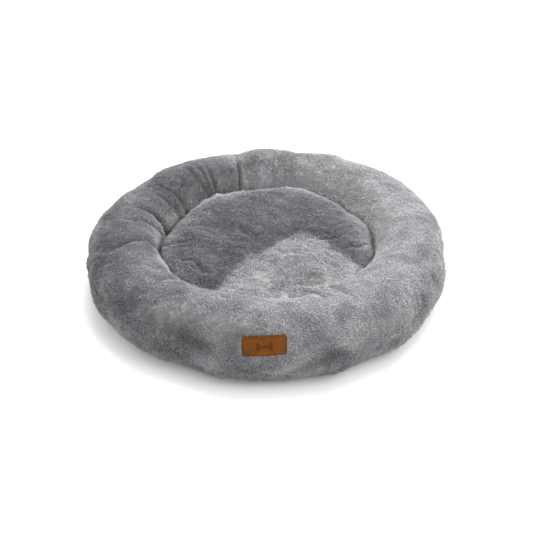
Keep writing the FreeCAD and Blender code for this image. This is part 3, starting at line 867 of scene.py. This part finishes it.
def shadeCushion(mesh, s):
    co = positions(mesh)
    x, y = co[:, 0], co[:, 1]
    radius = np.hypot(x, y)
    wobble = 0.020 * cloudy(co, 20, 3, 9.0)
    # the nap's sheen is painted: lighter inside four border lines, each a point and the way it faces
    beyond = np.max([(x - px) * math.cos(math.radians(turn)) + (y - py) * math.sin(math.radians(turn))
                     for px, py, turn in s["napBorder"]], axis=0)
    shade = 0.24 + 0.05 * y / 0.18 + 0.36 * (1 - ease(beyond + wobble * 0.6, -0.006, 0.008))
    # a painted dark band of the sheen just outside the border
    shade -= 0.12 * bell(beyond - 0.016, 0.018)
    # a painted highlight at the front, where the top faces up to the light
    shade += 0.19 * bell(np.hypot(x + 0.002, y + 0.130), 0.055)
    shade -= 0.10 * bell(np.hypot(x + 0.115, y + 0.020), 0.05)
    shade += 0.14 * cloudy(co, 13, 3, 31.0) + 0.10 * cloudy(co, 40, 2, 7.7)
    # painted light on the rim's rounded edge, over the shade where it meets the bolster
    shade += 0.22 * ease(radius, 0.142, 0.168)
    setAttribute(mesh, "shade", shade)
    setAttribute(mesh, "bare", np.zeros(len(co)))
    flow = np.stack([np.full(len(co), 0.4), np.full(len(co), -1.0), np.zeros(len(co))], 1)
    setAttribute(mesh, "nap", brushed(mesh, cushionPile, 5.0, flow))
    setAttribute(mesh, "loft", 0.95 + 0.45 * cloudy(co, 100, 2, 6.5) + 0.45 * ease(radius, 0.160, 0.176))


# ---- leather label, on a smooth fit to the skin where it is sewn ----
label = {
    "side": -0.003,               # its middle lies this far along X
    "corner": 0.0035,
    "gridStep": 0.0005,
    "stand": 0.0019,              # its face over the skin
    "thick": 0.0018,
    "sink": 0.0008,               # how far the sewn skin is drawn in
    "borderIn": 0.0048,
    "borderWidth": 0.0004,
    "pressed": 0.00040,
    "boneHalf": 0.0085, "boneBar": 0.0017, "boneKnob": 0.0026,
    "stitchIn": 0.0022, "stitchPitch": 0.0032, "stitchLength": 0.0021, "threadRadius": 0.00032,
}
labelLow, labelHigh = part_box("label_patch")
labelHalf = (labelHigh.x - labelLow.x) / 2
labelMiddleZ = (labelHigh.z + labelLow.z) / 2
labelHalfZ = (labelHigh.z - labelLow.z) / 2


# 1 over the label's width on the front of the bed, else 0.
def labelSpan(co):
    side = np.abs(co[:, 0] - label["side"]) - labelHalf
    return np.where(co[:, 1] < -ringMiddle, 1 - ease(side, -0.002, 0.004), 0)


def labelCover(co):
    x = np.abs(co[:, 0] - label["side"]) - labelHalf
    z = np.abs(co[:, 2] - labelMiddleZ) - labelHalfZ
    inside = (1 - ease(x, -0.0012, 0.0012)) * (1 - ease(z, -0.0010, 0.0014))
    return np.where(co[:, 1] < -ringMiddle, inside, 0)


# Fits the skin's depth over the label as a quadratic in x and z, and returns a map from (x, z, height) to space.
def labelSurface(mesh):
    tree = BVHTree.FromPolygons([v.co for v in mesh.vertices], [p.vertices for p in mesh.polygons])
    rows, depths = [], []
    for x in np.linspace(-labelHalf, labelHalf, 13) + label["side"]:
        for z in np.linspace(-labelHalfZ, labelHalfZ, 9) + labelMiddleZ:
            hit = tree.ray_cast(Vector((x, -0.5, z)), Vector((0, 1, 0)))[0]
            rows.append((1, x, z, x * x, x * z, z * z))
            depths.append(hit.y)
    fit = np.linalg.lstsq(np.array(rows), np.array(depths), rcond=None)[0]

    def place(x, z, height):
        x, z, height = np.broadcast_arrays(np.asarray(x, float), z, height)
        depth = fit[0] + fit[1] * x + fit[2] * z + fit[3] * x * x + fit[4] * x * z + fit[5] * z * z
        out = np.stack([fit[1] + 2 * fit[3] * x + fit[4] * z, np.full(x.shape, -1.0),
                        fit[2] + fit[4] * x + 2 * fit[5] * z], -1)
        out /= np.linalg.norm(out, axis=-1, keepdims=True)
        return np.stack([x, depth, z], -1) + out * np.asarray(height)[..., None]
    return place


# Draws the skin in under the label, so that the pile stands round it.
def sinkLabel(mesh, place):
    co = positions(mesh)
    cover = labelCover(co)
    flat = place(co[:, 0], co[:, 2], -label["sink"])
    setPositions(mesh, co + (flat - co) * cover[:, None])


# Half the label's width and height at a distance in from its edge, with round corners.
def roundedInside(x, z, inset, corner):
    a = np.maximum(np.abs(x) - (labelHalf - inset - corner), 0)
    b = np.maximum(np.abs(z) - (labelHalfZ - inset - corner), 0)
    return np.hypot(a, b) - corner


def makeLabel(place, s):
    bm = bmesh.new()
    bmesh.ops.create_grid(bm, x_segments=round(2 * labelHalf / s["gridStep"]),
                          y_segments=round(2 * labelHalfZ / s["gridStep"]), size=1)
    bmesh.ops.rotate(bm, verts=bm.verts, cent=(0, 0, 0),
                     matrix=Matrix.Rotation(math.pi / 2, 3, "X"))
    mesh = bpy.data.meshes.new("labelLeather")
    bm.to_mesh(mesh)
    bm.free()
    co = positions(mesh)
    x, z = co[:, 0] * labelHalf, co[:, 2] * labelHalfZ
    # the square corners are drawn in to round ones
    corner = s["corner"]
    a = np.maximum(np.abs(x) - (labelHalf - corner), 0)
    b = np.maximum(np.abs(z) - (labelHalfZ - corner), 0)
    far = np.hypot(a, b) + 1e-12
    shrink = np.where((a > 0) & (b > 0), np.maximum(a, b) / far, 1)
    x = np.sign(x) * (np.abs(x) - a + a * shrink)
    z = np.sign(z) * (np.abs(z) - b + b * shrink)
    edge = roundedInside(x, z, 0, corner)
    border = bell(edge + s["borderIn"], s["borderWidth"])
    # a plain bone, pressed in
    bar = np.maximum(np.abs(x) - s["boneHalf"], np.abs(z) - s["boneBar"])
    knobs = np.min([np.hypot(np.abs(x) - s["boneHalf"], np.abs(z) - s["boneKnob"] * 0.85) - s["boneKnob"],
                    bar], 0)
    pressed = np.maximum(border, 1 - ease(knobs, -0.0003, 0.0004))
    stitched = bell(edge + s["stitchIn"], 0.0007)
    rolled = 0.0007 * (1 - ease(-edge, 0.0, 0.0014)) ** 2
    height = s["stand"] - s["pressed"] * pressed - 0.00025 * stitched - rolled
    setPositions(mesh, place(x + s["side"], z + labelMiddleZ, height))
    worn = 0.62 - 0.40 * pressed - 0.34 * bell(edge, 0.0013) - 0.26 * stitched
    setAttribute(mesh, "worn", worn + 0.10 * cloudy(positions(mesh), 160, 3, 2.2))
    holder = bpy.data.objects.new("holder", mesh)
    scene.collection.objects.link(holder)
    thick = holder.modifiers.new("thickness", "SOLIDIFY")
    thick.thickness = s["thick"]
    thick.offset = -1
    result = evaluated(holder, "labelLeather")
    bpy.data.objects.remove(holder)
    return result


def makeStitches(place, s):
    halfX, halfZ = labelHalf - s["stitchIn"], labelHalfZ - s["stitchIn"]
    loop = []
    for ax, az, bx, bz in [(-1, -1, 1, -1), (1, -1, 1, 1), (1, 1, -1, 1), (-1, 1, -1, -1)]:
        length = math.hypot((bx - ax) * halfX, (bz - az) * halfZ)
        count = round(length / s["stitchPitch"])
        for n in range(count):
            t = (n + 0.5) / count
            loop.append(((ax + (bx - ax) * t) * halfX, (az + (bz - az) * t) * halfZ, bx - ax, bz - az))
    bm = bmesh.new()
    for x, z, dx, dz in loop:
        made = bmesh.ops.create_cone(bm, cap_ends=True, segments=8, radius1=s["threadRadius"],
                                     radius2=s["threadRadius"], depth=s["stitchLength"])["verts"]
        ends = [v for v in made]
        for v in ends:
            along, wide, up = v.co.z, v.co.x, v.co.y
            sag = 1 - 0.55 * (2 * along / s["stitchLength"]) ** 2
            dip = -0.00045 * (2 * along / s["stitchLength"]) ** 2
            if dx:
                px, pz = x + along, z + wide * sag
            else:
                px, pz = x + wide * sag, z + along
            point = place(px + s["side"], pz + labelMiddleZ, s["stand"] + up * sag + dip)
            v.co = point.reshape(3)
    bmesh.ops.recalc_face_normals(bm, faces=bm.faces)
    mesh = bpy.data.meshes.new("labelStitches")
    bm.to_mesh(mesh)
    bm.free()
    return subdivided(mesh, 1)


onLabel = labelSurface(bolsterMesh)
sinkLabel(bolsterMesh, onLabel)
addFinished("labelLeather", makeLabel(onLabel, label), "bed", "label_leather", "label_patch")
addFinished("labelStitches", makeStitches(onLabel, label), "bed", "label_thread", "label_stitching")
print("label done")

tones = toneFinishes(plush)
shadeBolster(bolsterMesh, bolster)
bolsterPiece = addFinished("bolsterCover", bolsterMesh, "bed", "bolster_plush", "bolster_cover")
growPile("bolsterPile", bolsterMesh, "bed", "bolster_plush", bolsterPile, tones, 11, 0.0)

shadeCushion(cushionMesh, cushion)
cushionPiece = addFinished("cushionTop", cushionMesh, "cushion", "cushion_plush", "cushion_cover_top")
growPile("cushionPile", cushionMesh, "cushion", "cushion_plush", cushionPile, tones, 71, undersideLow.z)
print("plush done")


# ---- fibre fillings and the inner bag ----
fillings = {
    "bolsterInset": 0.009,
    "bolsterFloor": 0.0082,
    "bagInset": 0.0085,
    "fibreInset": 0.0115,
    "bagCorner": 0.014,
    "roomOverZip": 0.0215,
    "tuftScale": 24,
    "tuftHeight": 0.0014,
}


# Lays small lumps over a closed body.
def lumpy(mesh, scale, height, offset):
    co = positions(mesh)
    setPositions(mesh, co + normals(mesh) * (height * (cloudy(co, scale, 3, offset) - 0.6))[:, None])
    return mesh


def makeBolsterFibre(s):
    mesh = spun("bolsterFibre", bolsterSection(bolster, s["bolsterInset"], s["bolsterFloor"]), 160,
                (ringMiddle, bolster["middleHeight"]))
    co = shapeBolster(positions(mesh), bolster)
    azimuth, radius, section = ringPlaces(co, bolster)
    lift = -creaseDepths(co, bolster)[0]
    for middle, at, height, wide, tall in bolster["lumps"]:
        lift += height * bell(gapTo(azimuth, middle), wide) * bell(section - at, tall)
    lift += bolster["cloudHeight"] * cloudy(co, bolster["cloudScale"], 3, 3.1)
    lift *= ease(co[:, 2], s["bolsterFloor"] + 0.002, s["bolsterFloor"] + 0.02)
    co += normals(mesh) * lift[:, None]
    co[:, 2] = np.maximum(co[:, 2], s["bolsterFloor"])
    setPositions(mesh, co)
    return lumpy(mesh, s["tuftScale"], s["tuftHeight"], 12.0)


# The bag and its filling: a closed pillow under the cover's skin, hollowed over the zip.
def pillow(name, inset, corner, s):
    radius = cushionRadius - inset
    top = cushionTop - inset
    low = undersideLow.z + inset * 0.28
    shoulder = cushion["shoulder"] - inset * 0.5
    section = joined(
        linePoints((0, low), (radius - corner, low), 0.006),
        arcPoints((radius - corner, low + corner), corner, -90, 0, 0.004),
        arcPoints((radius - shoulder, top - shoulder), shoulder, 0, 90, 0.004),
        linePoints((radius - shoulder, top), (0, top), 0.006))
    mesh = spun(name, section, 144, (0.1, 0.035))
    co = raiseCushion(positions(mesh), cushion, 0.02)
    wide = ease(-np.abs(co[:, 0]), -0.160, -0.150) * ease(-np.abs(co[:, 1] - zipLine), -0.034, -0.024)
    room = (s["roomOverZip"] + inset * 0.3) * wide
    co[:, 2] = np.maximum(co[:, 2], room)
    setPositions(mesh, co)
    return lumpy(mesh, 16, 0.0012, inset * 900)


tapeLow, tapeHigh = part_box("zip_tape_front")
coilLow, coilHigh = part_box("zip_coil_front")
farCoilLow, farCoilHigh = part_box("zip_coil_back")
zipLine = (coilHigh.y + farCoilLow.y) / 2
bolsterFibre = addFinished("bolsterFibre", makeBolsterFibre(fillings), "bed", "fibre", "bolster_filling")
bagMesh = pillow("cushionBag", fillings["bagInset"], fillings["bagCorner"], fillings)
bagPiece = addFinished("cushionBag", bagMesh, "cushion", "bag_cloth", "cushion_inner_bag")
fibreMesh = pillow("cushionFibre", fillings["fibreInset"], fillings["bagCorner"], fillings)
fibrePiece = addFinished("cushionFibre", fibreMesh, "cushion", "fibre", "cushion_filling")
print("fillings done")


# ---- underside of the cushion, with its zip ----
underside = {
    "cloth": 0.0008,
    "step": 0.005,
    "wave": 0.0011,
    "troughHalf": (0.146, 0.018),
    "slotHalf": (0.1345, 0.0062),
    "troughDepth": 0.006,
}


def makeUnderside(s):
    low = undersideLow.z
    seam = undersideHigh.z
    corner = cushion["footCorner"]
    section = joined(
        linePoints((0, low), (cushionRadius - corner, low), s["step"]),
        arcPoints((cushionRadius - corner, low + corner), corner, -90, 0, s["step"] * 0.6),
        linePoints((cushionRadius, low + corner), (cushionRadius, seam), s["step"] * 0.6))
    mesh = spun("cushionUnderside", section, 160, (0.1, 0.05))
    bm = bmesh.new()
    bm.from_mesh(mesh)
    halfX, halfY = s["troughHalf"]
    for place, direction in [((halfX, 0, 0), (1, 0, 0)), ((-halfX, 0, 0), (1, 0, 0)),
                             ((0, zipLine - halfY, 0), (0, 1, 0)), ((0, zipLine + halfY, 0), (0, 1, 0))]:
        flat = [f for f in bm.faces if f.calc_center_median().z < low + 1e-5]
        geometry = flat + list({e for f in flat for e in f.edges}) + list({v for f in flat for v in f.verts})
        bmesh.ops.bisect_plane(bm, geom=geometry, dist=1e-6, plane_co=place, plane_no=direction)
    inside = []
    for face in bm.faces:
        middle = face.calc_center_median()
        if middle.z < low + 1e-5 and abs(middle.x) < halfX and abs(middle.y - zipLine) < halfY:
            inside.append(face)
    bmesh.ops.delete(bm, geom=inside, context="FACES")
    rim = [e for e in bm.edges if e.is_boundary and e.verts[0].co.z < low + 1e-5]
    bmesh.ops.recalc_face_normals(bm, faces=bm.faces)
    wall = bmesh.ops.extrude_edge_only(bm, edges=rim)["geom"]
    risen = [g for g in wall if isinstance(g, bmesh.types.BMVert)]
    bmesh.ops.translate(bm, verts=risen, vec=(0, 0, s["troughDepth"]))
    roof = bmesh.ops.extrude_edge_only(bm, edges=[g for g in wall if isinstance(g, bmesh.types.BMEdge)])["geom"]
    slotX, slotY = s["slotHalf"]
    for vert in [g for g in roof if isinstance(g, bmesh.types.BMVert)]:
        vert.co.x *= slotX / halfX
        vert.co.y = zipLine + (vert.co.y - zipLine) * slotY / halfY
    bmesh.ops.recalc_face_normals(bm, faces=bm.faces)
    if sum(f.normal.z for f in bm.faces if f.calc_center_median().z < low + 1e-5) > 0:
        bmesh.ops.reverse_faces(bm, faces=bm.faces)
    bm.to_mesh(mesh)
    bm.free()
    co = positions(mesh)
    away = np.maximum(ease(np.abs(co[:, 0]), halfX, halfX + 0.02), ease(np.abs(co[:, 1] - zipLine), halfY, halfY + 0.02))
    wave = s["wave"] * np.clip(0.4 + cloudy(co, 26, 3, 6.6), 0, 1.6) * away * (1 - ease(co[:, 2], low, low + 0.02))
    pucker = 0.0005 * np.sin(np.radians(azimuths(co)) * 70) * bell(co[:, 2] - seam, 0.004)
    outward = co[:, :2] / (np.hypot(co[:, 0], co[:, 1]) + 1e-9)[:, None]
    co[:, :2] += outward * pucker[:, None]
    co[:, 2] += wave
    setPositions(mesh, co)
    holder = bpy.data.objects.new("holder", mesh)
    scene.collection.objects.link(holder)
    thick = holder.modifiers.new("thickness", "SOLIDIFY")
    thick.thickness = s["cloth"]
    thick.offset = -1
    result = evaluated(holder, "cushionUnderside")
    bpy.data.objects.remove(holder)
    return result


undersidePiece = addFinished("cushionUnderside", makeUnderside(underside), "cushion", "underside_cloth",
                             "cushion_cover_bottom")
print("underside done")

zipParts = {
    "toothPitch": 0.0016,
    "toothWidth": 0.0009,
    "tapeRibs": 0.00012,
    "tapeSegments": (267, 12),
}


def boxMiddle(low, high):
    return ((low.x + high.x) / 2, (low.y + high.y) / 2, (low.z + high.z) / 2)


# A woven tape: a thin slab with a thicker edge where the coil is sewn, and fine ribs across it.
def makeTape(name, node, inner, s):
    low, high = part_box(node)
    bm = bmesh.new()
    bmesh.ops.create_grid(bm, x_segments=s["tapeSegments"][0], y_segments=s["tapeSegments"][1], size=0.5)
    bmesh.ops.scale(bm, verts=bm.verts, vec=(high.x - low.x, high.y - low.y, 1))
    bmesh.ops.translate(bm, verts=bm.verts, vec=(0, (low.y + high.y) / 2, high.z))
    bmesh.ops.solidify(bm, geom=bm.faces[:], thickness=high.z - low.z)
    bmesh.ops.recalc_face_normals(bm, faces=bm.faces)
    mesh = bpy.data.meshes.new(name)
    bm.to_mesh(mesh)
    bm.free()
    co = positions(mesh)
    middle = (low.z + high.z) / 2
    co[:, 2] = middle + np.sign(co[:, 2] - middle) * (high.z - low.z) / 2
    rib = 0.5 + 0.5 * np.sin(co[:, 0] * math.tau / 0.003)
    near = bell(co[:, 1] - inner, 0.0014)
    thin = (high.z - low.z) * (0.24 - 0.24 * near) + s["tapeRibs"] * rib
    co[:, 2] -= np.sign(co[:, 2] - middle) * thin
    setPositions(mesh, co)
    return mesh


# One tooth of the coil, repeated along the zip by an array.
def makeCoil(name, node, shift, s):
    low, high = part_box(node)
    bm = bmesh.new()
    bmesh.ops.create_cube(bm, size=1)
    bmesh.ops.scale(bm, verts=bm.verts, vec=(s["toothWidth"], high.y - low.y, high.z - low.z))
    bmesh.ops.bevel(bm, geom=bm.edges[:], offset=0.00034, segments=2, profile=0.5, affect="EDGES", material=-1)
    bmesh.ops.translate(bm, verts=bm.verts,
                        vec=(low.x + s["toothWidth"] / 2 + shift, (low.y + high.y) / 2, (low.z + high.z) / 2))
    mesh = bpy.data.meshes.new(name)
    bm.to_mesh(mesh)
    bm.free()
    holder = bpy.data.objects.new("holder", mesh)
    scene.collection.objects.link(holder)
    row = holder.modifiers.new("row", "ARRAY")
    row.use_relative_offset = False
    row.use_constant_offset = True
    row.constant_offset_displace = (s["toothPitch"], 0, 0)
    row.count = int((high.x - low.x - shift - s["toothWidth"]) / s["toothPitch"]) + 1
    result = evaluated(holder, name)
    bpy.data.objects.remove(holder)
    return result


for side, inner, shift in (("front", coilHigh.y, 0.0), ("back", farCoilLow.y, zipParts["toothPitch"] / 2)):
    title = side.capitalize()
    addFinished(f"zipTape{title}", makeTape(f"zipTape{title}", f"zip_tape_{side}", inner, zipParts), "cushion",
                "zip_tape", f"zip_tape_{side}")
    addFinished(f"zipCoil{title}", makeCoil(f"zipCoil{title}", f"zip_coil_{side}", shift, zipParts), "cushion",
                "zip_coil", f"zip_coil_{side}")


def makeCareLabel():
    low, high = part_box("care_label")
    bm = bmesh.new()
    bmesh.ops.create_grid(bm, x_segments=32, y_segments=20, size=0.5)
    bmesh.ops.scale(bm, verts=bm.verts, vec=(high.x - low.x, high.y - low.y, 1))
    bmesh.ops.translate(bm, verts=bm.verts, vec=((low.x + high.x) / 2, (low.y + high.y) / 2, high.z))
    bmesh.ops.solidify(bm, geom=bm.faces[:], thickness=high.z - low.z)
    bmesh.ops.recalc_face_normals(bm, faces=bm.faces)
    mesh = bpy.data.meshes.new("careLabel")
    bm.to_mesh(mesh)
    bm.free()
    return mesh


addFinished("careLabel", makeCareLabel(), "cushion", "care_cloth", "care_label")
print("zip done")


# ---- the flat cloths under the bed ----
base = {
    "dotPitch": 0.012,
    "dotRadius": 0.0019,
    "dotTop": 0.0011,
    "dotField": 0.252,
}


# A flat round panel with a rounded edge, gently waved, that a sewn edge puckers.
def clothDisc(name, node, wave, pucker, pleats):
    low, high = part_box(node)
    half = (high.z - low.z) / 2
    section = joined(
        linePoints((0, low.z), (high.x - half, low.z), 0.007),
        arcPoints((high.x - half, low.z + half), half, -90, 90, 0.0009),
        linePoints((high.x - half, high.z), (0, high.z), 0.007))
    mesh = spun(name, section, 240, (high.x / 2, low.z + half))
    co = positions(mesh)
    radius = np.hypot(co[:, 0], co[:, 1])
    flat = np.stack([co[:, 0], co[:, 1], np.zeros(len(co))], 1)
    co[:, 2] += wave * cloudy(flat, 18, 3, 4.0)
    co[:, 2] += pucker * np.sin(np.radians(azimuths(co)) * pleats) * ease(radius, high.x - 0.022, high.x - 0.004)
    setPositions(mesh, co)
    return mesh


def makeDots(s):
    low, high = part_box("antislip_dots")
    bm = bmesh.new()
    bmesh.ops.create_cone(bm, cap_ends=True, segments=8, radius1=s["dotTop"], radius2=s["dotRadius"],
                          depth=high.z - low.z)
    bmesh.ops.translate(bm, verts=bm.verts, vec=(0, 0, (low.z + high.z) / 2))
    one = bpy.data.meshes.new("dot")
    bm.to_mesh(one)
    bm.clear()
    count = int(s["dotField"] / s["dotPitch"])
    rows = int(count / 0.866)
    for row in range(-rows, rows + 1):
        for column in range(-count, count + 1):
            x = (column + 0.5 * (row % 2)) * s["dotPitch"]
            y = row * s["dotPitch"] * 0.866
            if math.hypot(x, y) > s["dotField"]:
                continue
            start = len(bm.verts)
            bm.from_mesh(one)
            bm.verts.ensure_lookup_table()
            bmesh.ops.translate(bm, verts=bm.verts[start:], vec=(x, y, 0))
    mesh = bpy.data.meshes.new("antislipDots")
    bm.to_mesh(mesh)
    bm.free()
    return mesh


def makeSeamFlaps():
    low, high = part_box("closing_seam_allowance")
    middle = (low.x + high.x) / 2
    bm = bmesh.new()
    outer = [p for p in bolsterSection(bolster, 0.0125) if p[1] > low.z]
    inner = [p for p in bolsterSection(bolster, 0.0215) if p[1] > low.z]
    loops = []
    for line in (outer, inner):
        verts = [bm.verts.new((middle, math.sqrt(r * r - middle * middle), z)) for r, z in line]
        loops += [bm.edges.new(pair) for pair in zip(verts, verts[1:])]
    bmesh.ops.bridge_loops(bm, edges=loops)
    bmesh.ops.solidify(bm, geom=bm.faces[:], thickness=0.0018)
    bmesh.ops.recalc_face_normals(bm, faces=bm.faces)
    mesh = bpy.data.meshes.new("closingSeam")
    bm.to_mesh(mesh)
    bm.free()
    return mesh


addFinished("bottomPanel", clothDisc("bottomPanel", "bottom_panel", 0.00015, 0.0002, 120), "bed", "base_cloth",
            "bottom_panel")
addFinished("antislipDots", makeDots(base), "bed", "dot_rubber", "antislip_dots")
waddingPiece = addFinished("baseWadding", clothDisc("baseWadding", "base_wadding", 0.0005, 0.0, 1), "bed", "fibre",
                           "base_wadding")
addFinished("floorPanel", clothDisc("floorPanel", "floor_panel", 0.0004, 0.0004, 90), "bed", "floor_cloth",
            "floor_panel")
addFinished("closingSeam", makeSeamFlaps(), "bed", "backing_cloth", "closing_seam_allowance")
print("base done")


# ---- the other design parts keep their shapes and get their finishes ----
kept = {
    "foot_seam_allowance": "backing_cloth",
    "floor_seam_allowance": "backing_cloth",
    "cushion_seam_allowance": "backing_cloth",
    "zip_start_stops": "zip_metal",
    "zip_end_stop": "zip_metal",
    "zip_slider": "zip_metal",
    "zip_pull": "zip_metal",
}
for nodeName, slotName in kept.items():
    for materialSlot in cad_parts[nodeName].material_slots:
        materialSlot.material = finishes[slotName]
